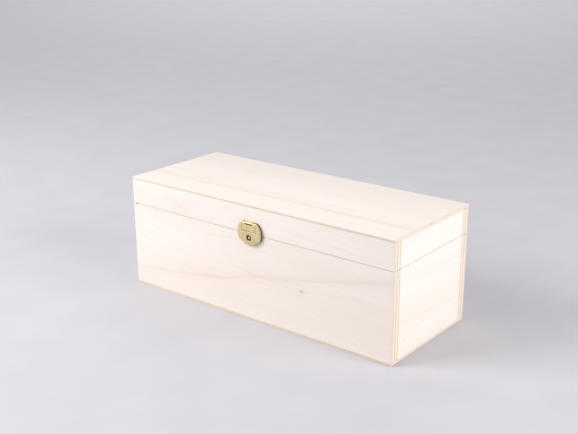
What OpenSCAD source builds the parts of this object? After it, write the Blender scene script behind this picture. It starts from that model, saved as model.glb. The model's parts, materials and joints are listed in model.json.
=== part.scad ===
// Small plywood money box with a hinged lid, a surface lock and a hasp.
// The closed box is glued up first and the lid is then sawn off it, so lid and body match.
// Frame: origin at the middle of the underside, X along the length, Y to the back, Z up.

/* [Box] */
// Outside length, along X
box_l = 300; // [200:5:400]
// Outside depth, front to back
box_d = 120; // [90:5:200]
// Outside height with the lid closed
box_h = 110; // [100:5:160]
// Thickness of the front, back and end panels (five-ply)
side_ply = 10; // [8:1:14]
// Thickness of the bottom and top panels (three-ply)
cover_ply = 3; // [3:0.5:5]
// Height of the middle of the saw cut that parts lid from body
seam_z = 83.3; // [76:0.1:88]
// Width of the saw cut
saw_cut = 0.4; // [0.3:0.1:1]

/* [Lock] */
// How far right of the middle the lock is nailed on
lock_x = 1.2; // [-5:0.1:5]
// Radius of the round case
case_r = 13.6; // [13.4:0.1:15]
// Radius of the lid plate, which shows as a rim round the upper half of the case
rim_r = 14; // [13.8:0.1:15.5]
// Depth of the case in front of the wood
case_depth = 3.4; // [3.2:0.1:5]
// Sheet thickness of the case and the hasp
sheet_t = 0.6; // [0.5:0.1:0.7]
// Thickness of the base plate and the lid plate
plate_t = 0.7; // [0.6:0.1:0.8]
// Radius of the keyhole
keyhole_r = 2.8; // [2.4:0.1:3.2]
// Radius of the post that a barrel key fits over
post_r = 1.15; // [1:0.05:1.3]
// Travel of the bolt, from unlocked to locked
bolt_travel = 3; // [2:0.5:3]
// Width of the hasp
hasp_w = 15.2; // [12:0.2:15.4]

/* [Hinges] */
// Distance of each hinge's middle from the middle of the box
hinge_x = 95; // [60:5:95]
// Length of a hinge along the seam
hinge_l = 25; // [20:1:30]
// Height of one leaf, from the pin to its edge
leaf_h = 9; // [8:0.5:12]
// Leaf thickness
leaf_t = 0.8; // [0.6:0.1:0.9]
// Radius of the knuckles
knuckle_r = 1.6; // [1.5:0.05:1.7]
// Radius of the pin
pin_r = 0.8; // [0.6:0.05:0.9]
// Play between the pin and the lid leaf's knuckles
pin_play = 0.05; // [0.02:0.01:0.1]

/* [Hidden] */
$fn = 64;

// Colours of the real materials
WOOD = "#F6E9E0";
BRASS = "#C9B787";
STEEL = "#B9B9B4";

// Box
front_y = -box_d / 2;
back_y = box_d / 2;
inner_l = box_l - 2 * side_ply;
inner_d = box_d - 2 * side_ply;
body_top = seam_z - saw_cut / 2;
lid_bottom = seam_z + saw_cut / 2;
over = 1; // how far a cutter runs past the face that it opens

// Lock outline, in the plane of the front: a circle with a flat top, a flat foot and four cut corners
lock_rise = 1.2; // height of the circle's middle above the seam
lock_z = seam_z + lock_rise;
outline_top = 10.2;
outline_foot = -10.9;
top_flat = 8.4; // half the length of the flat top
foot_flat = 4.8; // half the length of the flat foot
top_corner_deg = 34;
foot_corner_deg = 34;
gap = 0.3; // clearance between parts that pass each other
rub = 0.1; // clearance between parts that guide each other

// Lock pieces
key_drop = 4.2; // depth of the keyhole's middle below the circle's middle
key_z = lock_z - key_drop;
tenon_r = 0.8;
post_end = case_depth - gap;
face_in = case_depth - sheet_t;
wall_lift = plate_t + gap;
notch_rise = 1.8; // height of the notch's bottom above the circle's middle
notch_bottom = lock_z + notch_rise;
hasp_bottom = notch_bottom + gap;
hinge_drop = 0.9; // depth of the hasp's axis below the flat top
hinge_z = lock_z + outline_top - hinge_drop;
hinge_out = 2.2;
bar_r = 0.5;
bar_play = 0.05;
curl_t = 0.55; // thickness of the tongue where it curls round the bar
curl_r = bar_r + bar_play + curl_t;
curl_w = 8.2;
slit_w = curl_w + 2 * gap;
slit_gap = 0.4; // what stays open of the slit below the curl
staple_w = 1;
staple_rise = 2; // height of the staple's middle above the notch's bottom
staple_z = notch_bottom + staple_rise;
staple_h = 3;
eye_h = 2;
bolt_t = 0.8;
bolt_out = 1.3;
bolt_tip_h = 1.6;
bolt_back = 11.2;
bolt_tip = -1.5;
leg_right = -4.9;
leg_drop = 0.9; // depth of the bolt leg's end below the keyhole's middle
leg_bottom = key_z - leg_drop;
stud_r = 0.8;
stud_head = 0.5; // how far the stud's head stands out beyond its shank
stud_x = -6.7;
stud_z = key_z + 0.8;
nail_head_r = 1.2;
nail_r = 0.6;
nail_l = 7;
lock_nail_xz = [[9.2, key_z + 0.8], [3.8, key_z - 4.2], [-3.8, key_z - 4.2]];
hasp_nail_xz = [[-10.4, lock_z + 1.4], [10.4, lock_z + 1.4]];

// Hinges
knuckle_gap = 0.15; // clearance of a knuckle from the wood and from its neighbours
pin_y = back_y + knuckle_r + knuckle_gap;
knuckles = 5;
knuckle_l = hinge_l / knuckles;
relief_gap = 0.2; // clearance of a leaf's notch round the other leaf's knuckle
screw_head_r = 1.8;
screw_r = 0.95;
screw_l = 8.5;
screw_x = 8;
screw_z = 5.6;

// ---------- helpers ----------

// Everything on the front is drawn flat in X and Z, and given its depth outwards from the wood
module on_front(from, to) {
    translate([lock_x, front_y - from, 0])
        rotate([90, 0, 0])
            linear_extrude(to - from)
                children();
}

module front_rod(x, z, r, from, to) {
    translate([lock_x + x, front_y - from, z])
        rotate([90, 0, 0])
            cylinder(r = r, h = to - from);
}

// A half plane that starts at a point of the outline and falls away outwards, by an angle
module corner_cut(x, z, deg, up) {
    far = 40;
    translate([x, z])
        rotate(up * -deg)
            translate([-far, up > 0 ? 0 : -far])
                square([2 * far, far]);
}

module lock_outline(r, inset = 0) {
    top = outline_top - inset;
    foot = outline_foot + inset;
    top_corner = outline_top - inset / cos(top_corner_deg);
    foot_corner = outline_foot + inset / cos(foot_corner_deg);
    translate([0, lock_z])
        difference() {
            circle(r = r - inset, $fn = 128);
            translate([-r, top])
                square([2 * r, r]);
            translate([-r, foot - r])
                square([2 * r, r]);
            for (side = [0, 1])
                mirror([side, 0]) {
                    corner_cut(top_flat, top_corner, top_corner_deg, 1);
                    corner_cut(foot_flat, foot_corner, foot_corner_deg, -1);
                }
        }
}

module above(z) {
    translate([-2 * rim_r, z])
        square([4 * rim_r, 4 * rim_r]);
}

module below(z) {
    translate([-2 * rim_r, z - 4 * rim_r])
        square([4 * rim_r, 4 * rim_r]);
}

// A flush nail through a front plate: the cone sits in the plate, the shank in the wood
module front_nail(x, z) {
    translate([lock_x + x, front_y - plate_t, z])
        rotate([-90, 0, 0]) {
            cylinder(r1 = nail_head_r, r2 = nail_r, h = plate_t);
            cylinder(r = nail_r, h = nail_l);
        }
}

module nails(places) {
    for (p = places)
        front_nail(p[0], p[1]);
}

// A countersunk screw from the back, its head flush with the leaf
module back_screw(x, z) {
    translate([x, back_y + leaf_t, z])
        rotate([90, 0, 0]) {
            cylinder(r1 = screw_head_r, r2 = screw_r, h = leaf_t);
            cylinder(r = screw_r, h = screw_l);
        }
}

// The screws of both hinges on one side of the seam: up is 1 for the lid, -1 for the body
module hinge_screws(up) {
    for (hinge = [-hinge_x, hinge_x], side = [-1, 1])
        back_screw(hinge + side * screw_x, seam_z + up * screw_z);
}

// ---------- body panels ----------

module bottom_panel() {
    color(WOOD)
        translate([-box_l / 2, front_y, 0])
            cube([box_l, box_d, cover_ply]);
}

module long_panel(y, z0, z1) {
    translate([-box_l / 2, y, z0])
        cube([box_l, side_ply, z1 - z0]);
}

module end_panel(x, z0, z1) {
    translate([x, -inner_d / 2, z0])
        cube([side_ply, inner_d, z1 - z0]);
}

module front_panel() {
    color(WOOD)
        difference() {
            long_panel(front_y, cover_ply, body_top);
            nails(lock_nail_xz);
        }
}

module back_panel() {
    color(WOOD)
        difference() {
            long_panel(back_y - side_ply, cover_ply, body_top);
            hinge_screws(-1);
        }
}

module left_end_panel() {
    color(WOOD)
        end_panel(-box_l / 2, cover_ply, body_top);
}

module right_end_panel() {
    color(WOOD)
        end_panel(inner_l / 2, cover_ply, body_top);
}

// ---------- lid panels ----------

module lid_top_panel() {
    color(WOOD)
        translate([-box_l / 2, front_y, box_h - cover_ply])
            cube([box_l, box_d, cover_ply]);
}

module lid_front_rail() {
    color(WOOD)
        difference() {
            long_panel(front_y, lid_bottom, box_h - cover_ply);
            nails(hasp_nail_xz);
        }
}

module lid_back_rail() {
    color(WOOD)
        difference() {
            long_panel(back_y - side_ply, lid_bottom, box_h - cover_ply);
            hinge_screws(1);
        }
}

module lid_left_rail() {
    color(WOOD)
        end_panel(-box_l / 2, lid_bottom, box_h - cover_ply);
}

module lid_right_rail() {
    color(WOOD)
        end_panel(inner_l / 2, lid_bottom, box_h - cover_ply);
}

// ---------- lock, on the body ----------

// The base plate fills the case up to the top of the body and carries the works
module lock_base_plate() {
    color(BRASS)
        difference() {
            on_front(0, plate_t)
                intersection() {
                    lock_outline(case_r, sheet_t);
                    below(body_top);
                }
            nails(lock_nail_xz);
            front_rod(0, key_z, tenon_r, -over, plate_t + over);
            front_rod(stud_x, stud_z, stud_r, -over, plate_t + over);
        }
}

// A pressed shell. Below the seam its wall stands on the wood; above the seam it hangs free
// in front of the lid plate, and its face is open at the top for the hasp.
module lock_case() {
    color(BRASS)
        difference() {
            union() {
                on_front(face_in, case_depth)
                    lock_outline(case_r);
                on_front(wall_lift, face_in)
                    difference() {
                        lock_outline(case_r);
                        lock_outline(case_r, sheet_t);
                    }
                on_front(0, wall_lift)
                    difference() {
                        intersection() {
                            lock_outline(case_r);
                            below(body_top);
                        }
                        lock_outline(case_r, sheet_t);
                    }
            }
            on_front(wall_lift - over, case_depth + over)
                translate([-hasp_w / 2 - gap, notch_bottom])
                    square([hasp_w + 2 * gap, 2 * case_r]);
            front_rod(0, key_z, keyhole_r, face_in - over, case_depth + over);
        }
}

// A turned post: its tenon is riveted in the base plate, and its shoulder stands on the plate
module key_post() {
    color(STEEL)
        union() {
            front_rod(0, key_z, tenon_r, 0, plate_t);
            front_rod(0, key_z, post_r, plate_t, post_end);
        }
}

module bolt_shape() {
    difference() {
        union() {
            translate([-bolt_back, staple_z - bolt_tip_h / 2])
                square([bolt_back + bolt_tip, bolt_tip_h]);
            translate([-bolt_back, leg_bottom])
                square([bolt_back + leg_right, staple_z + bolt_tip_h / 2 - leg_bottom]);
        }
        for (x = [stud_x, stud_x - bolt_travel])
            translate([x, stud_z])
                circle(r = stud_r + pin_play);
        translate([stud_x - bolt_travel, stud_z - stud_r - pin_play])
            square([bolt_travel, 2 * (stud_r + pin_play)]);
    }
}

module lock_bolt() {
    color(BRASS)
        on_front(bolt_out, bolt_out + bolt_t)
            bolt_shape();
}

module bolt_guide_stud() {
    color(STEEL)
        union() {
            front_rod(stud_x, stud_z, stud_r, 0, bolt_out + bolt_t + rub);
            front_rod(stud_x, stud_z, stud_r + stud_head, bolt_out + bolt_t + rub, face_in - rub);
        }
}

// A leaf of spring steel under the bolt's leg, with its foot standing on the base plate
module bolt_spring() {
    spring_t = 0.3;
    bow_r = 9;
    bow_top = leg_bottom - rub;
    bow_drop = 0.4; // how far the bow has fallen at its ends
    bow_x = -7.6;
    half_bow = 2.6;
    foot_h = 1.1;
    color(STEEL)
        union() {
            on_front(bolt_out, bolt_out + bolt_t)
                intersection() {
                    translate([bow_x, bow_top - bow_r])
                        difference() {
                            circle(r = bow_r, $fn = 128);
                            circle(r = bow_r - spring_t, $fn = 128);
                        }
                    translate([bow_x - half_bow, bow_top - bow_r])
                        square([2 * half_bow, 2 * bow_r]);
                }
            on_front(plate_t, bolt_out + bolt_t)
                translate([bow_x + half_bow - spring_t, bow_top - bow_drop - foot_h])
                    square([spring_t, foot_h]);
        }
}

module lock_nails() {
    color(STEEL)
        nails(lock_nail_xz);
}

// ---------- hasp, on the lid ----------

// The lid plate lies behind the upper half of the case. Its tongue curls round the hasp's bar.
module hasp_lid_plate() {
    tongue_root = 0.9;
    color(BRASS)
        difference() {
            union() {
                on_front(0, plate_t)
                    intersection() {
                        lock_outline(rim_r);
                        above(lid_bottom);
                    }
                translate([lock_x - curl_w / 2, front_y - hinge_out, hinge_z])
                    rotate([0, 90, 0])
                        cylinder(r = curl_r, h = curl_w);
                on_front(0, hinge_out)
                    translate([-curl_w / 2, hinge_z + curl_r - sheet_t])
                        square([curl_w, sheet_t]);
                on_front(0, plate_t)
                    translate([-curl_w / 2, hinge_z - tongue_root])
                        square([curl_w, tongue_root + curl_r]);
            }
            nails(hasp_nail_xz);
            translate([lock_x - curl_w / 2 - over, front_y - hinge_out, hinge_z])
                rotate([0, 90, 0])
                    cylinder(r = bar_r + bar_play, h = curl_w + 2 * over);
        }
}

// A flat flap with a slit near its top. The strip above the slit is rolled into a bar that turns
// inside the tongue.
module hasp() {
    shoulder = (hasp_w - slit_w) / 2;
    slit_bottom = hinge_z - curl_r - slit_gap;
    color(BRASS)
        union() {
            on_front(face_in, case_depth)
                difference() {
                    translate([-hasp_w / 2, hasp_bottom])
                        square([hasp_w, hinge_z - hasp_bottom]);
                    translate([-slit_w / 2, slit_bottom])
                        square([slit_w, hinge_z - slit_bottom + over]);
                }
            for (side = [-1, 1])
                on_front(hinge_out, face_in + sheet_t / 2)
                    translate([side * (slit_w + shoulder) / 2 - shoulder / 2, hinge_z - bar_r])
                        square([shoulder, bar_r]);
            translate([lock_x - hasp_w / 2, front_y - hinge_out, hinge_z])
                rotate([0, 90, 0])
                    cylinder(r = bar_r, h = hasp_w);
        }
}

// The eye on the back of the hasp that the bolt slides through
module hasp_staple() {
    plate_gap = 0.15;
    eye_slack = 0.25;
    depth = face_in - plate_t - plate_gap;
    eye_out = bolt_out - eye_slack;
    color(BRASS)
        translate([lock_x - staple_w / 2, front_y - face_in, staple_z - staple_h / 2])
            difference() {
                cube([staple_w, depth, staple_h]);
                translate([-over, face_in - eye_out - bolt_t - 2 * eye_slack, (staple_h - eye_h) / 2])
                    cube([staple_w + 2 * over, bolt_t + 2 * eye_slack, eye_h]);
            }
}

module hasp_nails() {
    color(STEEL)
        nails(hasp_nail_xz);
}

// ---------- rear hinges ----------

// One knuckle as a tube section; slot counts from the left, from 0 to knuckles - 1
module knuckle(hinge, slot, r) {
    translate([hinge - hinge_l / 2 + slot * knuckle_l + knuckle_gap, pin_y, seam_z])
        rotate([0, 90, 0])
            cylinder(r = r, h = knuckle_l - 2 * knuckle_gap);
}

// A leaf with its own knuckles: up is 1 for the lid leaf, -1 for the body leaf
module hinge_leaf(hinge, up, own, bore) {
    others = [for (slot = [0 : knuckles - 1]) if (len(search(slot, own)) == 0) slot];
    relief = knuckle_r + relief_gap;
    start = hinge - hinge_l / 2;
    color(BRASS)
        difference() {
            union() {
                translate([start, back_y, up > 0 ? seam_z : seam_z - leaf_h])
                    cube([hinge_l, leaf_t, leaf_h]);
                for (slot = own)
                    knuckle(hinge, slot, knuckle_r);
            }
            for (slot = others)
                translate([start + slot * knuckle_l - knuckle_gap, back_y - over, seam_z - relief])
                    cube([knuckle_l + 2 * knuckle_gap, leaf_t + 2 * over, 2 * relief]);
            translate([start - over, pin_y, seam_z])
                rotate([0, 90, 0])
                    cylinder(r = bore, h = hinge_l + 2 * over);
            hinge_screws(up);
        }
}

module hinge_pin(hinge) {
    color(STEEL)
        translate([hinge - hinge_l / 2 + knuckle_gap, pin_y, seam_z])
            rotate([0, 90, 0])
                cylinder(r = pin_r, h = hinge_l - 2 * knuckle_gap);
}

module body_leaf(hinge) {
    hinge_leaf(hinge, -1, [0, 2, 4], pin_r);
}

module lid_leaf(hinge) {
    hinge_leaf(hinge, 1, [1, 3], pin_r + pin_play);
}

module left_hinge_body_leaf() { body_leaf(-hinge_x); }
module left_hinge_lid_leaf() { lid_leaf(-hinge_x); }
module left_hinge_pin() { hinge_pin(-hinge_x); }
module right_hinge_body_leaf() { body_leaf(hinge_x); }
module right_hinge_lid_leaf() { lid_leaf(hinge_x); }
module right_hinge_pin() { hinge_pin(hinge_x); }

module hinge_body_screws() {
    color(BRASS)
        hinge_screws(-1);
}

module hinge_lid_screws() {
    color(BRASS)
        hinge_screws(1);
}

// ---------- assembly ----------

bottom_panel();
front_panel();
back_panel();
left_end_panel();
right_end_panel();
lid_top_panel();
lid_front_rail();
lid_back_rail();
lid_left_rail();
lid_right_rail();
lock_base_plate();
lock_case();
key_post();
lock_bolt();
bolt_guide_stud();
bolt_spring();
lock_nails();
hasp_lid_plate();
hasp();
hasp_staple();
hasp_nails();
left_hinge_body_leaf();
left_hinge_lid_leaf();
left_hinge_pin();
right_hinge_body_leaf();
right_hinge_lid_leaf();
right_hinge_pin();
hinge_body_screws();
hinge_lid_screws();
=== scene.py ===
import json
import math
from contextlib import contextmanager

import bmesh
import bpy
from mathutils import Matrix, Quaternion, Vector


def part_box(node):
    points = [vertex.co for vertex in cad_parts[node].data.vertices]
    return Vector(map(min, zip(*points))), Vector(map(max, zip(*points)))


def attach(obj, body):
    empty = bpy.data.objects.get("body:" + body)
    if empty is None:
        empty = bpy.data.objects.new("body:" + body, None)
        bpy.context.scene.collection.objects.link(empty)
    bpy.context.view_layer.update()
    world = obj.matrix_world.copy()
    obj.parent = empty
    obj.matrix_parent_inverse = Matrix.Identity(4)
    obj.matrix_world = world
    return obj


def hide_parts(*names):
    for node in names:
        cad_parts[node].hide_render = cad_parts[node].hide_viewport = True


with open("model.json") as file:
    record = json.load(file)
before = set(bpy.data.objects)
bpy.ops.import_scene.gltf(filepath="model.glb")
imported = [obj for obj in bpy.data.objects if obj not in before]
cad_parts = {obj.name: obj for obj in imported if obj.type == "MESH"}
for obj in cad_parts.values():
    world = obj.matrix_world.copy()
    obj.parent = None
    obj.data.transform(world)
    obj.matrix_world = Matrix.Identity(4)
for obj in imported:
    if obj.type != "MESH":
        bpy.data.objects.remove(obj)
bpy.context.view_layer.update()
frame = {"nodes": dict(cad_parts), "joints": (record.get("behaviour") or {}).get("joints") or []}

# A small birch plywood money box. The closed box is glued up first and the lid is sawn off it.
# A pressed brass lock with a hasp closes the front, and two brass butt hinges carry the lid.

MM = 0.001
X, Y, Z = 0, 1, 2
RIGHT_ANGLE = math.radians(90)

# ---------- places, read from the frame ----------

box_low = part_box("bottom_panel")[0]
box_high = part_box("lid_top_panel")[1]
front_y = box_low.y
back_y = box_high.y
body_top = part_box("front_panel")[1].z
lid_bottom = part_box("lid_front_rail")[0].z
seam_z = (body_top + lid_bottom) / 2

case_low, case_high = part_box("lock_case")
lock_x = (case_low.x + case_high.x) / 2
case_radius = (case_high.x - case_low.x) / 2
lock_z = seam_z + 1.2 * MM
rim_low, rim_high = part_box("hasp_lid_plate")
rim_radius = (rim_high.x - rim_low.x) / 2
flap_low, flap_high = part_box("hasp")
post_low, post_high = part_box("key_post")
key_z = (post_low.z + post_high.z) / 2

joint_place = {j["name"]: Vector(j["pos_m"]) for j in frame["joints"] if "pos_m" in j}
flap_axis = joint_place["hasp_hinge"]
lid_axis = joint_place["lid_hinge"]


# ---------- modelling by hand: primitives, edit mode and modifiers ----------

def deselect():
    bpy.ops.object.select_all(action="DESELECT")


def take(piece):
    """Makes one piece the selected and active one."""
    deselect()
    piece.select_set(True)
    bpy.context.view_layer.objects.active = piece


def named(name):
    """Names the primitive that was just added, and puts its place in its mesh."""
    piece = bpy.context.object
    piece.name = name
    piece.data.name = name
    bpy.ops.object.transform_apply(location=True, rotation=True, scale=True)
    return piece


def block(name, low, high):
    low, high = Vector(low), Vector(high)
    deselect()
    bpy.ops.mesh.primitive_cube_add(size=1, location=(low + high) / 2, scale=high - low)
    return named(name)


def rod(name, centre, radius, length, axis, sides=48, tip_radius=None):
    """A round bar along an axis. With tip_radius it is a cone that has that radius at its high end."""
    turns = {X: (0, RIGHT_ANGLE, 0), Y: (-RIGHT_ANGLE, 0, 0), Z: (0, 0, 0)}
    deselect()
    bpy.ops.mesh.primitive_cone_add(
        vertices=sides, radius1=radius, radius2=radius if tip_radius is None else tip_radius,
        depth=length, location=centre, rotation=turns[axis])
    return named(name)


@contextmanager
def editing(piece):
    take(piece)
    bpy.ops.object.mode_set(mode="EDIT")
    bpy.ops.mesh.select_all(action="DESELECT")
    yield
    bpy.ops.object.mode_set(mode="OBJECT")


def pick(piece, kind, wanted):
    """Selects the VERT, EDGE or FACE elements that wanted says yes to, and nothing else."""
    bpy.ops.mesh.select_mode(type=kind)
    bpy.ops.mesh.select_all(action="DESELECT")
    mesh = bmesh.from_edit_mesh(piece.data)
    mesh.normal_update()
    for part in {"VERT": mesh.verts, "EDGE": mesh.edges, "FACE": mesh.faces}[kind]:
        if wanted(part):
            part.select_set(True)
    mesh.select_flush_mode()
    bmesh.update_edit_mesh(piece.data)


def slice_picked(point, normal, clear=False):
    """Cuts what is selected by a plane. With clear, what lies on the normal's side goes."""
    bpy.ops.mesh.bisect(
        plane_co=point, plane_no=normal, use_fill=False, clear_outer=clear, threshold=1e-6)


def slice_all(point, normal, clear=False):
    bpy.ops.mesh.select_all(action="SELECT")
    slice_picked(point, normal, clear)


def middle(edge):
    return (edge.verts[0].co + edge.verts[1].co) / 2


def is_sharp(edge):
    """An edge between two faces that meet at more than 50 degrees."""
    return len(edge.link_faces) == 2 and edge.calc_face_angle() > math.radians(50)


def runs_along(edge, axis):
    way = edge.verts[1].co - edge.verts[0].co
    return abs(way[axis]) > 0.999 * way.length


def apply(piece, kind, **settings):
    """Adds a modifier with its settings and applies it."""
    take(piece)
    modifier = piece.modifiers.new(kind.title(), kind)
    for key, value in settings.items():
        setattr(modifier, key, value)
    bpy.ops.object.modifier_apply(modifier=modifier.name)


def combine(piece, operation, *tools):
    """Cuts the tools out of the piece, or joins them to it, and removes them."""
    for tool in tools:
        apply(piece, "BOOLEAN", operation=operation, solver="EXACT", object=tool)
        bpy.data.objects.remove(tool)


def smooth(piece, degrees=35):
    take(piece)
    bpy.ops.object.shade_smooth_by_angle(angle=math.radians(degrees))


def soften(piece, width):
    """Takes the sharpness off every edge that turns more than 50 degrees."""
    apply(piece, "WELD", merge_threshold=0.02 * MM)
    apply(piece, "BEVEL", width=width, segments=2, limit_method="ANGLE",
          angle_limit=math.radians(50), use_clamp_overlap=True)


def copy_of(piece, name, shift):
    """A copy with its own mesh, moved by a shift."""
    twin = piece.copy()
    twin.data = piece.data.copy()
    twin.name = name
    twin.data.name = name
    bpy.context.scene.collection.objects.link(twin)
    with editing(twin):
        bpy.ops.mesh.select_all(action="SELECT")
        bpy.ops.transform.translate(value=shift)
    return twin


def fit(piece, body, slot, materials, *nodes):
    """Gives a piece its finish, the body that it rides on and the CAD nodes that it stands for."""
    for material in materials:
        piece.data.materials.append(material)
    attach(piece, body)
    if nodes:
        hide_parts(*nodes)


# ---------- materials ----------

def linear(code):
    """A colour written as sRGB hex, as the linear RGBA that the nodes take."""
    parts = [int(code[i:i + 2], 16) / 255 for i in (1, 3, 5)]
    return [c / 12.92 if c <= 0.04045 else ((c + 0.055) / 1.055) ** 2.4 for c in parts] + [1.0]


def add(tree, kind, inputs=(), **settings):
    """Adds a node. An input is a value, or an output or a node to link from. stops fills a ramp."""
    node = tree.nodes.new(kind)
    stops = settings.pop("stops", None)
    for key, value in settings.items():
        setattr(node, key, value)
    if stops:
        ramp = node.color_ramp.elements
        while len(ramp) < len(stops):
            ramp.new(0.5)
        for element, (place, code) in zip(ramp, stops):
            element.position = place
            element.color = linear(code)
    pairs = inputs.items() if isinstance(inputs, dict) else enumerate(inputs)
    for key, value in pairs:
        if isinstance(value, bpy.types.Node):
            value = value.outputs[0]
        if isinstance(value, bpy.types.NodeSocket):
            tree.links.new(value, node.inputs[key])
        elif value is not None:
            node.inputs[key].default_value = value
    return node


def new_material(name):
    """An empty material, with its tree and its Principled shader."""
    material = bpy.data.materials.new(name)
    material.use_nodes = True
    tree = material.node_tree
    tree.nodes.clear()
    shader = add(tree, "ShaderNodeBsdfPrincipled")
    add(tree, "ShaderNodeOutputMaterial", [shader])
    return material, tree, shader


def millimetres(tree, first, second, third, shift=(0, 0, 0)):
    """Object coordinates in millimetres, with the axes in the order asked for."""
    place = add(tree, "ShaderNodeTexCoord").outputs["Object"]
    scaled = add(tree, "ShaderNodeVectorMath", {0: place, 3: 1 / MM}, operation="SCALE")
    parts = add(tree, "ShaderNodeSeparateXYZ", [scaled]).outputs
    joined = add(tree, "ShaderNodeCombineXYZ", [parts[first], parts[second], parts[third]])
    return add(tree, "ShaderNodeVectorMath", [joined, shift], operation="ADD")


def streaks(tree, place, length, width, detail=2.0, shift=0.0):
    """Soft streaks along the first axis, of a length and width in millimetres, from 0 to 1."""
    size = (1 / length, 1 / width, 1 / width)
    mapped = add(tree, "ShaderNodeMapping", {0: place, 1: (shift, shift, shift), 3: size})
    return add(tree, "ShaderNodeTexNoise", {"Vector": mapped, "Scale": 1.0, "Detail": detail})


def bell(tree, distance, width):
    """1 at distance 0, falling smoothly to 0 at about twice the width."""
    scaled = add(tree, "ShaderNodeMath", [distance, width], operation="DIVIDE")
    squared = add(tree, "ShaderNodeMath", [scaled, scaled], operation="MULTIPLY")
    negative = add(tree, "ShaderNodeMath", [squared, -1.0], operation="MULTIPLY")
    return add(tree, "ShaderNodeMath", [negative], operation="EXPONENT")


def weighted(tree, *pairs):
    """The sum of values, each times its weight."""
    total = 0.0
    for value, weight in pairs:
        total = add(tree, "ShaderNodeMath", [value, weight, total], operation="MULTIPLY_ADD")
    return total


def spot(tree, along, across, at_along, at_across, width, length=None):
    """A soft spot in the face, such as a pin knot."""
    u = add(tree, "ShaderNodeMath", [along, at_along], operation="SUBTRACT")
    v = add(tree, "ShaderNodeMath", [across, at_across], operation="SUBTRACT")
    return add(tree, "ShaderNodeMath",
               [bell(tree, u, length or width), bell(tree, v, width)], operation="MULTIPLY")


def front_figure(tree, along, across, waver):
    """The front sheet: a brown streak that climbs to the right, a pin knot, and a cathedral's tip."""
    # The streak's height above the underside: a slow climb with one step left of the middle.
    bend = add(tree, "ShaderNodeMath", [along, 0.00025, 0.17], operation="MULTIPLY_ADD")
    climb = add(tree, "ShaderNodeMath", [bend, along, 40.3], operation="MULTIPLY_ADD")
    left_of_step = add(tree, "ShaderNodeMath", [along, 20.0], operation="ADD")
    step_place = add(tree, "ShaderNodeMath", [left_of_step, 8.0], operation="DIVIDE")
    step = add(tree, "ShaderNodeMath", [step_place], operation="TANH")
    height = weighted(tree, (climb, 1.0), (step, 2.2), (waver, 3.0))
    off = add(tree, "ShaderNodeMath", [across, height], operation="SUBTRACT")
    streak = bell(tree, off, 1.5)
    halo = bell(tree, off, 6.0)
    knot = spot(tree, along, across, 57.3, 42.7, 0.9)
    knot_tail = spot(tree, along, across, 58.5, 42.7, 0.5, 3.5)
    # Nested hyperbolas that point to the right, where the cut grazes one growth ring.
    u = add(tree, "ShaderNodeMath", [-74.0, along], operation="SUBTRACT")
    v = add(tree, "ShaderNodeMath", [across, 90.5], operation="SUBTRACT")
    turned = weighted(tree, (v, 1.0), (u, -0.13), (waver, 3.0))
    spread = add(tree, "ShaderNodeMath", [turned, 3.4], operation="MULTIPLY")
    squared = add(tree, "ShaderNodeMath", [spread, spread, 30.0], operation="MULTIPLY_ADD")
    reach = add(tree, "ShaderNodeMath", [squared], operation="SQRT")
    ring = add(tree, "ShaderNodeMath", [u, reach], operation="SUBTRACT")
    rings = add(tree, "ShaderNodeMath", [
        bell(tree, add(tree, "ShaderNodeMath", [ring, 5.0], operation="ADD"), 1.9),
        bell(tree, add(tree, "ShaderNodeMath", [ring, -6.0], operation="ADD"), 2.6)],
        operation="ADD")
    near_tip = spot(tree, along, across, -85.0, 92.0, 12.0, 32.0)
    tip = add(tree, "ShaderNodeMath", [rings, near_tip], operation="MULTIPLY")
    return weighted(tree, (streak, 0.11), (halo, 0.05), (knot, 1.2), (knot_tail, 0.4), (tip, 0.18))


def top_figure(tree, along, across, waver):
    """The top sheet: one faint brown line along its front half."""
    off = add(tree, "ShaderNodeMath", [across, 30.5], operation="ADD")
    wavy = weighted(tree, (off, 1.0), (waver, 9.0))
    line = bell(tree, wavy, 1.6)
    halo = bell(tree, wavy, 6.0)
    patch = spot(tree, along, across, -88.0, -20.0, 3.0, 9.0)
    return weighted(tree, (line, 0.13), (halo, 0.06), (patch, 0.12))


def right_figure(tree, along, across, waver):
    """The right end's sheet: one small pin knot near its foot."""
    knot = spot(tree, along, across, -41.0, 16.7, 1.0, 1.3)
    line = bell(tree, weighted(tree, (across, 1.0), (along, 0.1), (waver, 6.0), (-31.0, 1.0)), 1.6)
    return weighted(tree, (knot, 0.7), (line, 0.08))


def plain_figure(tree, along, across, waver):
    """A sheet with only a quiet stripe across its middle."""
    line = bell(tree, weighted(tree, (across, 1.0), (along, -0.08), (waver, 12.0), (-50.0, 1.0)), 2.0)
    return weighted(tree, (line, 0.14))


FACE_LIGHT = "#F2E9E2"
FACE_DARK = "#E3D2C3"
FACE_BROWN = "#BC967A"


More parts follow.
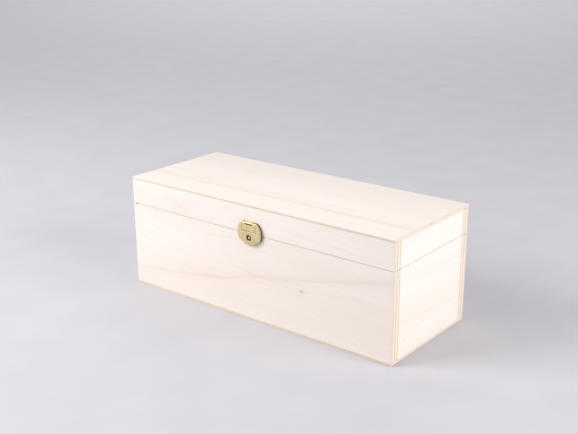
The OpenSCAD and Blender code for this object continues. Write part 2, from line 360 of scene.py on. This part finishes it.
def birch_veneer(name, first, second, third, shift, figure):
    """Rotary-cut birch face veneer, sanded and left raw: nearly white, matt, with faint long fibres,
    broad pale bands and a few brown lines. The first axis is along the grain."""
    material, tree, shader = new_material(name)
    place = millimetres(tree, first, second, third)
    parts = add(tree, "ShaderNodeSeparateXYZ", [place]).outputs
    moved = add(tree, "ShaderNodeVectorMath", [place, shift], operation="ADD")
    waver = add(tree, "ShaderNodeMapRange",
                [streaks(tree, moved, 70.0, 45.0, 1.0), 0.0, 1.0, -0.5, 0.5])
    drift = add(tree, "ShaderNodeCombineXYZ", [0.0, weighted(tree, (waver, 14.0)), 0.0])
    wavy = add(tree, "ShaderNodeVectorMath", [moved, drift], operation="ADD")
    # Broad bands are 25 mm across. Growth lines are 3 mm apart and fibres under half a millimetre.
    bands = add(tree, "ShaderNodeMapRange", [streaks(tree, wavy, 260.0, 25.0, 1.0), 0.3, 0.7])
    growth = add(tree, "ShaderNodeMapRange",
                 [streaks(tree, wavy, 150.0, 3.0, 2.0, 7.0), 0.42, 0.72])
    fibre = streaks(tree, wavy, 16.0, 0.45, 2.0, 3.0)
    fleck = add(tree, "ShaderNodeMapRange", [streaks(tree, wavy, 2.6, 0.4, 0.0, 11.0), 0.76, 0.84])
    depth = weighted(tree, (bands, 0.20), (growth, 0.18), (fibre, 0.24), (fleck, 0.30))
    base = add(tree, "ShaderNodeValToRGB", [depth], stops=[(0.0, FACE_LIGHT), (1.0, FACE_DARK)])
    marks = figure(tree, parts[0], parts[1], waver)
    broken = add(tree, "ShaderNodeMapRange", [fibre, 0.25, 0.75, 0.7, 1.25])
    grained = add(tree, "ShaderNodeMath", [marks, broken], operation="MULTIPLY")
    brown = add(tree, "ShaderNodeMix",
                {0: grained, 6: base.outputs[0], 7: linear(FACE_BROWN)}, data_type="RGBA")
    tree.links.new(brown.outputs[2], shader.inputs["Base Color"])
    rough = add(tree, "ShaderNodeMapRange", [growth, 0.0, 1.0, 0.56, 0.66])
    tree.links.new(rough.outputs[0], shader.inputs["Roughness"])
    bump = add(tree, "ShaderNodeBump", {"Strength": 0.35, "Distance": 0.03 * MM, "Height": fibre})
    tree.links.new(bump.outputs[0], shader.inputs["Normal"])
    shader.inputs["IOR"].default_value = 1.5
    return material


def ply_long_grain(name, first, second, third):
    """A ply that shows its side at an edge: sanded birch, a little yellower than the face, with
    fine straight lines. The first axis is along the grain."""
    material, tree, shader = new_material(name)
    place = millimetres(tree, first, second, third, (11.0, 5.0, 3.0))
    lines = streaks(tree, place, 22.0, 0.35, 3.0)
    tone = streaks(tree, place, 90.0, 4.0, 1.0, 5.0)
    depth = weighted(tree, (lines, 0.6), (tone, 0.5))
    colour = add(tree, "ShaderNodeValToRGB", [depth], stops=[(0.25, "#F1E7DA"), (0.85, "#E1D1BF")])
    tree.links.new(colour.outputs[0], shader.inputs["Base Color"])
    bump = add(tree, "ShaderNodeBump", {"Strength": 0.4, "Distance": 0.04 * MM, "Height": lines})
    tree.links.new(bump.outputs[0], shader.inputs["Normal"])
    shader.inputs["Roughness"].default_value = 0.66
    shader.inputs["IOR"].default_value = 1.5
    return material


def ply_end_grain():
    """A ply that shows the ends of its fibres: sanded birch end grain, darker and browner because
    it drinks in the light. The pores are drawn 0.3 mm apart, coarser than real ones, to show."""
    material, tree, shader = new_material("birch_ply_end_grain")
    place = millimetres(tree, X, Y, Z)
    pores = add(tree, "ShaderNodeTexVoronoi", {"Vector": place, "Scale": 1 / 0.3})
    tone = streaks(tree, place, 9.0, 5.0, 3.0, 2.0)
    open_pores = add(tree, "ShaderNodeMapRange", [pores, 0.15, 0.6])
    depth = weighted(tree, (open_pores, 0.35), (tone, 0.9))
    colour = add(tree, "ShaderNodeValToRGB", [depth], stops=[(0.2, "#C7B19B"), (0.9, "#DFCDBA")])
    tree.links.new(colour.outputs[0], shader.inputs["Base Color"])
    bump = add(tree, "ShaderNodeBump", {"Strength": 0.5, "Distance": 0.06 * MM, "Height": pores})
    tree.links.new(bump.outputs[0], shader.inputs["Normal"])
    shader.inputs["Roughness"].default_value = 0.75
    shader.inputs["IOR"].default_value = 1.5
    return material


def glue_line():
    """Cured urea glue between plies: a hair-thin brown line, a little shinier than the wood."""
    material, tree, shader = new_material("ply_glue_line")
    patches = streaks(tree, millimetres(tree, X, Y, Z), 6.0, 3.0, 2.0)
    colour = add(tree, "ShaderNodeValToRGB", [patches], stops=[(0.3, "#C0A68A"), (0.7, "#DCCAB3")])
    tree.links.new(colour.outputs[0], shader.inputs["Base Color"])
    shader.inputs["Roughness"].default_value = 0.45
    shader.inputs["IOR"].default_value = 1.52
    return material


def plated_metal(name, light, dark, roughness, brush_width, clouds, wall_shade=None):
    """Sheet metal with a soft shine: clouds of slightly different tone some millimetres across,
    and fine rubbing marks that widen the highlight. A wall shade colour, when given, is painted
    shade: it browns the last millimetres before the board, standing in for the walls' dark reflections."""
    material, tree, shader = new_material(name)
    place = millimetres(tree, X, Y, Z)
    cloud = add(tree, "ShaderNodeTexNoise", {"Vector": place, "Scale": 1 / clouds, "Detail": 3.0})
    rubbing = streaks(tree, place, 3.0, brush_width, 2.0)
    depth = weighted(tree, (cloud, 0.7), (rubbing, 0.3))
    colour = add(tree, "ShaderNodeValToRGB", [depth], stops=[(0.35, dark), (0.65, light)])
    if wall_shade:
        # Painted shade: the wall within about 2 mm of the board is browned, fading out by 2.7 mm, in
        # place of its dark reflections.
        inward = add(tree, "ShaderNodeSeparateXYZ", [place]).outputs[1]
        edge = front_y / MM
        wall_shade_mask = add(tree, "ShaderNodeMapRange", [inward, edge - 2.7, edge - 1.9, 0.0, 0.9])
        colour = add(tree, "ShaderNodeMix",
                     {0: wall_shade_mask.outputs[0], 6: colour.outputs[0], 7: linear(wall_shade)}, data_type="RGBA")
        tree.links.new(colour.outputs[2], shader.inputs["Base Color"])
    else:
        tree.links.new(colour.outputs[0], shader.inputs["Base Color"])
    rough = add(tree, "ShaderNodeMapRange", [depth, 0.3, 0.7, roughness * 1.2, roughness * 0.85])
    tree.links.new(rough.outputs[0], shader.inputs["Roughness"])
    bump = add(tree, "ShaderNodeBump",
               {"Strength": 0.25, "Distance": 0.01 * MM, "Height": rubbing})
    tree.links.new(bump.outputs[0], shader.inputs["Normal"])
    shader.inputs["Metallic"].default_value = 1.0
    return material


front_veneer = birch_veneer("birch_veneer_front", X, Z, Y, (0, 0, 0), front_figure)
top_veneer = birch_veneer("birch_veneer_top", X, Y, Z, (400, 90, 30), top_figure)
back_veneer = birch_veneer("birch_veneer_back", X, Z, Y, (900, 300, 10), plain_figure)
bottom_veneer = birch_veneer("birch_veneer_bottom", X, Y, Z, (1500, 700, 50), plain_figure)
right_veneer = birch_veneer("birch_veneer_right", Y, Z, X, (2100, 150, 0), right_figure)
left_veneer = birch_veneer("birch_veneer_left", Y, Z, X, (2700, 550, 0), plain_figure)
long_grain = {
    X: ply_long_grain("birch_ply_long_grain_x", X, Y, Z),
    Y: ply_long_grain("birch_ply_long_grain_y", Y, Z, X),
    Z: ply_long_grain("birch_ply_long_grain_z", Z, X, Y),
}
end_grain = ply_end_grain()
glue = glue_line()
# Brass-plated pressed steel, semi-bright lacquer: pale, slightly green yellow with a soft shine.
pressed_brass = plated_metal("pressed_brass_satin", "#EBDBAE", "#D9C690", 0.42, 0.25, 5.0)
# The same plating on the case and the flap, with painted shade browning their walls near the board.
wall_shaded_brass = plated_metal(
    "pressed_brass_wall_shade", "#EBDBAE", "#D9C690", 0.42, 0.25, 5.0, "#5E4A2C")
# Bright-rolled brass for the hinges and their screws: a deeper yellow than the plated lock.
hinge_brass = plated_metal("rolled_brass_bright", "#F2DC9C", "#D9BC74", 0.24, 0.2, 4.0)
# Drawn steel for pins, nails and the spring: grey-white, with a faint drawn grain.
bright_steel = plated_metal("drawn_steel_bright", "#DAD8D4", "#BDBAB5", 0.26, 0.15, 3.0)
# The key post: drawn steel with a thin flash of brass worn through at its end, a warm white.
post_steel = plated_metal("drawn_steel_brass_flash", "#F3E2C8", "#E0CBA8", 0.42, 0.15, 3.0)


# ---------- plywood boards ----------

EASED = 0.5 * MM  # the box's outer edges after sanding
BROKEN = 0.08 * MM  # edges at joints and at the saw cut
GLUE = 0.10 * MM  # thickness of a glue line
NEAR = 0.01 * MM


def outer_sides(point):
    """How many of the closed box's outer sides a point lies on."""
    return sum(abs(point[a] - side[a]) < NEAR for a in (X, Y, Z) for side in (box_low, box_high))


def ply_slot(face, low, ply, plies, thick, grain, cross):
    """Which of a board's materials a face has: 0 veneer, 1 and 2 long grain, 3 end grain, 4 glue."""
    if abs(face.normal[thick]) > 0.6:
        return 0
    depth = (face.center[thick] - low[thick]) / ply
    line = round(depth)
    if 0 < line < plies and abs(depth - line) * ply < GLUE:
        return 4
    along = grain if int(depth) % 2 == 0 else cross
    if abs(face.normal[along]) > 0.7:
        return 3
    return 1 if along == grain else 2


def board(name, node, body, thick, grain, plies, veneer, chip=None):
    """One plywood board: eased edges, and its plies cut apart where they show at the edges."""
    low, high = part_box(node)
    cross = 3 - thick - grain
    ply = (high[thick] - low[thick]) / plies
    piece = block(name, low, high)
    across = [0, 0, 0]
    across[thick] = 1
    with editing(piece):
        pick(piece, "EDGE", lambda e: outer_sides(middle(e)) >= 2)
        bpy.ops.mesh.bevel(offset=EASED, segments=3, affect="EDGES")
        pick(piece, "EDGE", is_sharp)
        bpy.ops.mesh.bevel(offset=BROKEN, segments=1, affect="EDGES")
        for line in range(1, plies):
            for side in (-0.5, 0.5):
                at = Vector(low)
                at[thick] += line * ply + side * GLUE
                slice_all(at, across)
    if chip:
        combine(piece, "DIFFERENCE", chip())
    smooth(piece)
    for face in piece.data.polygons:
        face.material_index = ply_slot(face, low, ply, plies, thick, grain, cross)
    fit(piece, body, "plywood",
        [veneer, long_grain[grain], long_grain[cross], end_grain, glue], node)


def saw_chip():
    """The splinter that the saw tore out of both edges of the cut, near the front left corner."""
    centre = (box_low.x + 5.2 * MM, front_y, seam_z)
    deselect()
    bpy.ops.mesh.primitive_ico_sphere_add(
        subdivisions=2, radius=1.0, location=centre, scale=(2.7 * MM, 1.8 * MM, 0.85 * MM))
    chip = named("chip")
    with editing(chip):
        pick(chip, "VERT", lambda v: v.co.x > centre[0] + 1.2 * MM)
        bpy.ops.transform.translate(value=(0.8 * MM, 0, -0.15 * MM))
        pick(chip, "VERT", lambda v: abs(v.co.x - centre[0]) < 0.6 * MM and v.co.z > centre[2])
        bpy.ops.transform.translate(value=(0, 0, 0.18 * MM))
    return chip


board("bottom_board", "bottom_panel", "body", Z, X, 3, bottom_veneer)
board("front_board", "front_panel", "body", Y, X, 5, front_veneer, chip=saw_chip)
board("back_board", "back_panel", "body", Y, X, 5, back_veneer)
board("left_end_board", "left_end_panel", "body", X, Y, 5, left_veneer)
board("right_end_board", "right_end_panel", "body", X, Y, 5, right_veneer)
board("lid_top_board", "lid_top_panel", "lid", Z, X, 3, top_veneer)
board("lid_front_board", "lid_front_rail", "lid", Y, X, 5, front_veneer, chip=saw_chip)
board("lid_back_board", "lid_back_rail", "lid", Y, X, 5, back_veneer)
board("lid_left_board", "lid_left_rail", "lid", X, Y, 5, left_veneer)
board("lid_right_board", "lid_right_rail", "lid", X, Y, 5, right_veneer)


# ---------- the lock's pressed outline ----------

SHEET = 0.6 * MM
PLATE = 0.7 * MM
GAP = 0.3 * MM
TOP_FLAT = 8.4 * MM  # half the flat top
FOOT_FLAT = 4.8 * MM  # half the flat foot
TOP_CORNER = math.radians(34)
FOOT_CORNER = math.radians(34)
WALL = 2.25 * MM  # how far the case's wall stands out of the wood before its edge rounds over
# Steps in from the edge and out from the wood that turn the wall into the crowned face, in mm.
CROWN = [(0.06, 0.22), (0.14, 0.22), (0.22, 0.18), (0.35, 0.13), (0.7, 0.10),
         (1.3, 0.10), (1.8, 0.09), (2.2, 0.07)]


def turns_corner(vert):
    """A point of an outline where its two edges turn by more than 6 degrees."""
    ways = [(e.other_vert(vert).co - vert.co).normalized() for e in vert.link_edges]
    return len(ways) == 2 and ways[0].angle(-ways[1]) > math.radians(6)


def outline(name, radius):
    """A flat sheet in the plane of the wood: a circle with a flat top, a flat foot and cut corners."""
    deselect()
    bpy.ops.mesh.primitive_circle_add(
        vertices=96, radius=radius, fill_type="NGON",
        location=(lock_x, front_y, lock_z), rotation=(RIGHT_ANGLE, 0, 0))
    piece = named(name)
    with editing(piece):
        slice_all((lock_x, front_y, case_high.z), (0, 0, 1), clear=True)
        slice_all((lock_x, front_y, case_low.z), (0, 0, -1), clear=True)
        for side in (-1, 1):
            slice_all((lock_x + side * TOP_FLAT, front_y, case_high.z),
                      (side * math.sin(TOP_CORNER), 0, math.cos(TOP_CORNER)), clear=True)
            slice_all((lock_x + side * FOOT_FLAT, front_y, case_low.z),
                      (side * math.sin(FOOT_CORNER), 0, -math.cos(FOOT_CORNER)), clear=True)
        bpy.ops.mesh.select_all(action="SELECT")
        bpy.ops.mesh.remove_doubles(threshold=0.3 * MM)
        pick(piece, "VERT", turns_corner)
        bpy.ops.mesh.bevel(offset=0.6 * MM, segments=3, affect="VERTICES")
        bpy.ops.mesh.select_all(action="SELECT")
        bpy.ops.mesh.remove_doubles(threshold=0.1 * MM)
    return piece


def crowned_skin(name):
    """The pressed shape that the case and the hasp share: a wall, a round edge and a crowned face."""
    piece = outline(name, case_radius)
    with editing(piece):
        bpy.ops.mesh.select_all(action="SELECT")
        bpy.ops.mesh.extrude_region_move(TRANSFORM_OT_translate={"value": (0, -WALL, 0)})
        reach = case_radius
        for inwards, outwards in CROWN:
            bpy.ops.mesh.extrude_region_move(
                TRANSFORM_OT_translate={"value": (0, -outwards * MM, 0)})
            shrink = (reach - inwards * MM) / reach
            bpy.ops.transform.resize(
                value=(shrink, 1, shrink), center_override=(lock_x, front_y, lock_z))
            reach -= inwards * MM
        pick(piece, "FACE", lambda f: all(v.co.y > front_y - NEAR for v in f.verts))
        bpy.ops.mesh.delete(type="ONLY_FACE")
    return piece


def give_thickness(piece):
    """Merges what lies closer than the steps of the skin, and makes the skin a closed sheet."""
    with editing(piece):
        bpy.ops.mesh.select_all(action="SELECT")
        bpy.ops.mesh.remove_doubles(threshold=0.03 * MM)
        bpy.ops.mesh.dissolve_degenerate(threshold=0.01 * MM)
    apply(piece, "SOLIDIFY", thickness=SHEET, offset=-1, use_even_offset=True)


def lock_case():
    """The case: below the seam its wall stands on the wood, above it hangs clear of the lid plate."""
    piece = crowned_skin("lock_case_shell")
    notch_half = (flap_high.x - flap_low.x) / 2 + GAP
    notch_z = flap_low.z - GAP
    lifted_y = front_y - PLATE - GAP
    with editing(piece):
        slice_all((0, 0, body_top), (0, 0, 1))
        pick(piece, "FACE", lambda f: f.calc_center_median().z > body_top)
        slice_picked((0, lifted_y, 0), (0, 1, 0), clear=True)
        slice_all((0, 0, notch_z), (0, 0, 1))
        for side in (-1, 1):
            pick(piece, "FACE", lambda f: f.calc_center_median().z > notch_z)
            slice_picked((lock_x + side * notch_half, 0, 0), (side, 0, 0))
        pick(piece, "FACE", lambda f: f.calc_center_median().z > notch_z
             and abs(f.calc_center_median().x - lock_x) < notch_half)
        bpy.ops.mesh.delete(type="FACE")
    give_thickness(piece)
    key_radius = 2.8 * MM
    drill = rod("drill", (lock_x, case_low.y, key_z), key_radius, 4 * SHEET, Y, 64)
    combine(piece, "DIFFERENCE", drill)
    with editing(piece):
        pick(piece, "EDGE", lambda e: is_sharp(e) and middle(e).y < case_low.y + SHEET / 2 and
             math.hypot(middle(e).x - lock_x, middle(e).z - key_z) < key_radius + NEAR)
        bpy.ops.mesh.bevel(offset=0.22 * MM, segments=3, affect="EDGES")
    soften(piece, 0.07 * MM)
    smooth(piece)
    fit(piece, "body", "brass_sheet", [wall_shaded_brass], "lock_case")


def hasp_flap():
    """The hasp: the flap that closes the case's notch, with its bent-back top, its slit and its bar."""
    piece = crowned_skin("hasp_flap")
    slit_half = 4.4 * MM
    slit_z = flap_axis.z - 1.5 * MM
    bent_back_y = front_y - 1.6 * MM
    with editing(piece):
        slice_all((0, 0, flap_low.z), (0, 0, -1), clear=True)
        slice_all((flap_low.x, 0, 0), (-1, 0, 0), clear=True)
        slice_all((flap_high.x, 0, 0), (1, 0, 0), clear=True)
        slice_all((0, bent_back_y, 0), (0, 1, 0), clear=True)
        slice_all((0, 0, slit_z), (0, 0, 1))
        for side in (-1, 1):
            pick(piece, "FACE", lambda f: f.calc_center_median().z > slit_z)
            slice_picked((lock_x + side * slit_half, 0, 0), (side, 0, 0))
        pick(piece, "FACE", lambda f: f.calc_center_median().z > slit_z
             and abs(f.calc_center_median().x - lock_x) < slit_half)
        bpy.ops.mesh.delete(type="FACE")
    give_thickness(piece)
    with editing(piece):
        pick(piece, "EDGE", lambda e: runs_along(e, Y) and is_sharp(e)
             and middle(e).z < flap_low.z + NEAR)
        bpy.ops.mesh.bevel(offset=0.7 * MM, segments=4, affect="EDGES")
    bar_half = (flap_high.x - flap_low.x) / 2 - SHEET
    bar = rod("bar", (lock_x, flap_axis.y, flap_axis.z), 0.5 * MM, 2 * bar_half, X, 24)
    combine(piece, "UNION", bar)
    soften(piece, 0.07 * MM)
    smooth(piece)
    fit(piece, "hasp", "brass_sheet", [wall_shaded_brass], "hasp")


def lid_plate():
    """The plate on the lid: a rim round the case's upper half, and a tongue curled over the bar."""
    piece = outline("hasp_lid_plate_sheet", rim_radius)
    with editing(piece):
        slice_all((0, 0, lid_bottom), (0, 0, -1), clear=True)
        bpy.ops.mesh.select_all(action="SELECT")
        bpy.ops.mesh.extrude_region_move(TRANSFORM_OT_translate={"value": (0, -PLATE, 0)})
    tongue_half = 4.1 * MM
    tongue_t = 0.5 * MM
    curl_in = 0.52 * MM
    bend = 0.3 * MM
    strip_low = flap_axis.z + curl_in
    tongue = block("tongue", (lock_x - tongue_half, front_y - tongue_t, case_high.z - 2.5 * MM),
                   (lock_x + tongue_half, front_y, strip_low - bend))
    with editing(tongue):
        pick(tongue, "FACE", lambda f: f.normal.z > 0.9)
        bpy.ops.mesh.spin(steps=6, angle=RIGHT_ANGLE, axis=(-1, 0, 0),
                          center=(lock_x, front_y - tongue_t - bend, strip_low - bend))
        run = (front_y - tongue_t - bend) - flap_axis.y
        bpy.ops.mesh.extrude_region_move(TRANSFORM_OT_translate={"value": (0, -run, 0)})
        bpy.ops.mesh.spin(steps=20, angle=math.radians(255), axis=(-1, 0, 0),
                          center=(lock_x, flap_axis.y, flap_axis.z))
        bpy.ops.mesh.select_all(action="SELECT")
        bpy.ops.mesh.remove_doubles(threshold=0.001 * MM)
        bpy.ops.mesh.normals_make_consistent(inside=False)
    combine(piece, "UNION", tongue)
    soften(piece, 0.06 * MM)
    smooth(piece)
    fit(piece, "lid", "brass_sheet", [pressed_brass], "hasp_lid_plate")


def key_post():
    """The turned post: a shoulder on the base plate and a rounded end for the key's barrel."""
    radius = (post_high.x - post_low.x) / 2
    length = post_high.y - post_low.y
    centre = (lock_x, post_low.y + length / 2, key_z)
    piece = rod("key_post_turned", centre, radius, length, Y, 40)
    with editing(piece):
        pick(piece, "FACE", lambda f: f.normal.y < -0.9)
        bpy.ops.mesh.bevel(offset=0.55 * MM, segments=5, affect="EDGES")
    smooth(piece, 40)
    fit(piece, "body", "bright_steel", [post_steel], "key_post")


lock_case()
hasp_flap()
lid_plate()
key_post()


# ---------- rear hinges ----------

KNUCKLES = 5
LEAF = 0.8 * MM


def hinge_leaf(name, node, up, own):
    """A butt hinge's leaf: a plate with round corners whose end is rolled round the pin and notched
    for the other leaf's knuckles. up is 1 for the lid leaf and -1 for the body leaf."""
    low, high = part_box(node)
    pin_low, pin_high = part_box("left_hinge_pin")
    bore = (pin_high.z - pin_low.z) / 2
    roll = high.y - lid_axis.y
    sheet = roll - bore
    far_z = high.z if up > 0 else low.z
    neck_z = lid_axis.z + up * 2.0 * MM
    knuckle = (high.x - low.x) / KNUCKLES
    piece = block(name, (low.x, back_y, min(far_z, neck_z)),
                  (high.x, back_y + sheet, max(far_z, neck_z)))
    with editing(piece):
        pick(piece, "EDGE", lambda e: runs_along(e, Y) and abs(middle(e).z - far_z) < NEAR)
        bpy.ops.mesh.bevel(offset=1.3 * MM, segments=5, affect="EDGES")
        pick(piece, "FACE", lambda f: f.normal.z * up < -0.9)
        lift = (lid_axis.y - roll) - back_y
        bpy.ops.mesh.extrude_region_move(
            TRANSFORM_OT_translate={"value": (0, lift, lid_axis.z - neck_z)})
        bpy.ops.mesh.spin(steps=24, angle=math.radians(288), axis=(-up, 0, 0),
                          center=(0, lid_axis.y, lid_axis.z))
        bpy.ops.mesh.select_all(action="SELECT")
        bpy.ops.mesh.remove_doubles(threshold=0.001 * MM)
        bpy.ops.mesh.normals_make_consistent(inside=False)
    clear = 0.15 * MM
    for slot in range(KNUCKLES):
        if slot in own:
            continue
        start = low.x + slot * knuckle
        combine(piece, "DIFFERENCE", block(
            "notch", (start - clear, back_y - MM, lid_axis.z - roll - 2 * clear),
            (start + knuckle + clear, back_y + 5 * MM, lid_axis.z + roll + 2 * clear)))
    return piece


SCREW_OUT = 8 * MM
SCREW_UP = 5.6 * MM
HEAD_RADIUS = 1.8 * MM
SHANK_RADIUS = 0.95 * MM


def screw_places(hinge_x, up):
    """The two screws' places, x and z, on one leaf."""
    return [(hinge_x + side * SCREW_OUT, seam_z + up * SCREW_UP) for side in (-1, 1)]


def hinge_screw():
    """A countersunk brass screw with a cross recess, modelled at the origin with its head outwards."""
    piece = rod("screw", (0, -LEAF / 2, 0), SHANK_RADIUS, LEAF, Y, 32, HEAD_RADIUS)
    with editing(piece):
        pick(piece, "FACE", lambda f: f.normal.y < -0.9)
        bpy.ops.mesh.extrude_region_move(TRANSFORM_OT_translate={"value": (0, -5.5 * MM, 0)})
        bpy.ops.mesh.extrude_region_move(TRANSFORM_OT_translate={"value": (0, -2 * MM, 0)})
        bpy.ops.transform.resize(value=(0.15, 1, 0.15))
        pick(piece, "FACE", lambda f: f.normal.y > 0.9)
        bpy.ops.mesh.inset(thickness=0.15 * MM, depth=0.06 * MM)
    for half_x, half_z in ((1.05, 0.2), (0.2, 1.05)):
        combine(piece, "DIFFERENCE", block(
            "driver", (-half_x * MM, -0.55 * MM, -half_z * MM), (half_x * MM, MM, half_z * MM)))
    return piece


def hinges():
    screw = hinge_screw()
    for side in ("left", "right"):
        for half, up, own in (("body", -1, (0, 2, 4)), ("lid", 1, (1, 3))):
            node = f"{side}_hinge_{half}_leaf"
            leaf = hinge_leaf(f"{side}_hinge_{half}_leaf_rolled", node, up, own)
            low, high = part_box(node)
            hinge_x = (low.x + high.x) / 2
            for number, (x, z) in enumerate(screw_places(hinge_x, up)):
                sink = rod("sink", (x, back_y + LEAF / 2, z), SHANK_RADIUS, LEAF + NEAR, Y, 32,
                           HEAD_RADIUS + NEAR)
                combine(leaf, "DIFFERENCE", sink)
                screw_name = f"{side}_hinge_{half}_screw_{number + 1}"
                twin = copy_of(screw, screw_name, (x, back_y + LEAF, z))
                smooth(twin)
                fit(twin, half, "hinge_brass", [hinge_brass], f"hinge_{half}_screws")
            soften(leaf, 0.08 * MM)
            smooth(leaf)
            fit(leaf, half, "hinge_brass", [hinge_brass], node)
        low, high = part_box(f"{side}_hinge_pin")
        radius = (high.z - low.z) / 2
        pin = rod(f"{side}_hinge_pin_domed", (low + high) / 2, radius, high.x - low.x, X, 32)
        with editing(pin):
            pick(pin, "FACE", lambda f: abs(f.normal.x) > 0.9)
            bpy.ops.mesh.bevel(offset=0.3 * MM, segments=4, affect="EDGES")
        smooth(pin, 40)
        fit(pin, "body", "bright_steel", [bright_steel], f"{side}_hinge_pin")
    bpy.data.objects.remove(screw)


hinges()


# ---------- small works inside the lock, carried from the frame ----------

def carry(node, material):
    """A CAD part that keeps its shape: it gets its finish, merged triangles and broken edges."""
    piece = frame["nodes"][node]
    if not piece.data.materials:
        piece.data.materials.append(material)
    for index in range(len(piece.data.materials)):
        piece.data.materials[index] = material
    weld = piece.modifiers.new("Weld", "WELD")
    weld.merge_threshold = 0.001 * MM
    bevel = piece.modifiers.new("Bevel", "BEVEL")
    bevel.width = 0.06 * MM
    bevel.segments = 2
    bevel.limit_method = "ANGLE"
    bevel.angle_limit = math.radians(50)


for carried in ("lock_base_plate", "lock_bolt", "hasp_staple"):
    carry(carried, pressed_brass)
for carried in ("bolt_guide_stud", "bolt_spring", "lock_nails", "hasp_nails"):
    carry(carried, bright_steel)


# ---------- floor, light and camera ----------

def studio_floor():
    """A floor in matt paint: plain pale grey, with faint clouds where the roller lapped."""
    deselect()
    bpy.ops.mesh.primitive_plane_add(size=12, location=(0, 0, 0))
    floor = named("floor")
    material, tree, shader = new_material("floor_matt_paint")
    place = millimetres(tree, X, Y, Z)
    clouds = add(tree, "ShaderNodeTexNoise", {"Vector": place, "Scale": 1 / 60})
    colour = add(tree, "ShaderNodeValToRGB", [clouds], stops=[(0.3, "#C9C7CC"), (0.7, "#CDCBD0")])
    tree.links.new(colour.outputs[0], shader.inputs["Base Color"])
    shader.inputs["Roughness"].default_value = 0.8
    floor.data.materials.append(material)


def soft_light(name, place, aim, size, power):
    data = bpy.data.lights.new(name, "AREA")
    data.shape = "SQUARE"
    data.size = size
    data.energy = power
    lamp = bpy.data.objects.new(name, data)
    lamp.location = place
    lamp.rotation_mode = "QUATERNION"
    lamp.rotation_quaternion = (lamp.location - Vector(aim)).to_track_quat("Z", "Y")
    bpy.context.scene.collection.objects.link(lamp)


def studio():
    scene = bpy.context.scene
    scene.view_settings.view_transform = "Standard"
    world = bpy.data.worlds.new("studio")
    world.use_nodes = True
    backdrop = world.node_tree.nodes["Background"]
    backdrop.inputs["Color"].default_value = linear("#F6F7FA")
    backdrop.inputs["Strength"].default_value = 0.54
    scene.world = world
    aim = (0, 0, 0.05)
    soft_light("key_light", (-0.82, -0.95, 0.85), aim, 0.85, 18)
    soft_light("right_light", (1.3, 0.12, 0.48), aim, 0.8, 12)
    soft_light("back_light", (-1.9, 2.7, 1.9), (-1.9, 2.8, 0), 3.0, 34)


def studio_camera():
    """Stands to the right of the front and a little above, as the box is usually shown."""
    azimuth, elevation, roll = (math.radians(a) for a in (38.71, 18.31, -0.30))
    distance = 0.87625
    aim = Vector((-0.00756, 0.00469, 0.08035))
    back = Vector((math.sin(azimuth) * math.cos(elevation),
                   -math.cos(azimuth) * math.cos(elevation), math.sin(elevation)))
    data = bpy.data.cameras.new("camera")
    data.lens = 58.03
    data.sensor_width = 36
    camera = bpy.data.objects.new("camera", data)
    camera.location = aim + distance * back
    camera.rotation_mode = "QUATERNION"
    camera.rotation_quaternion = back.to_track_quat("Z", "Y") @ Quaternion((0, 0, 1), roll)
    bpy.context.scene.collection.objects.link(camera)
    bpy.context.scene.camera = camera


studio_floor()
studio()
studio_camera()
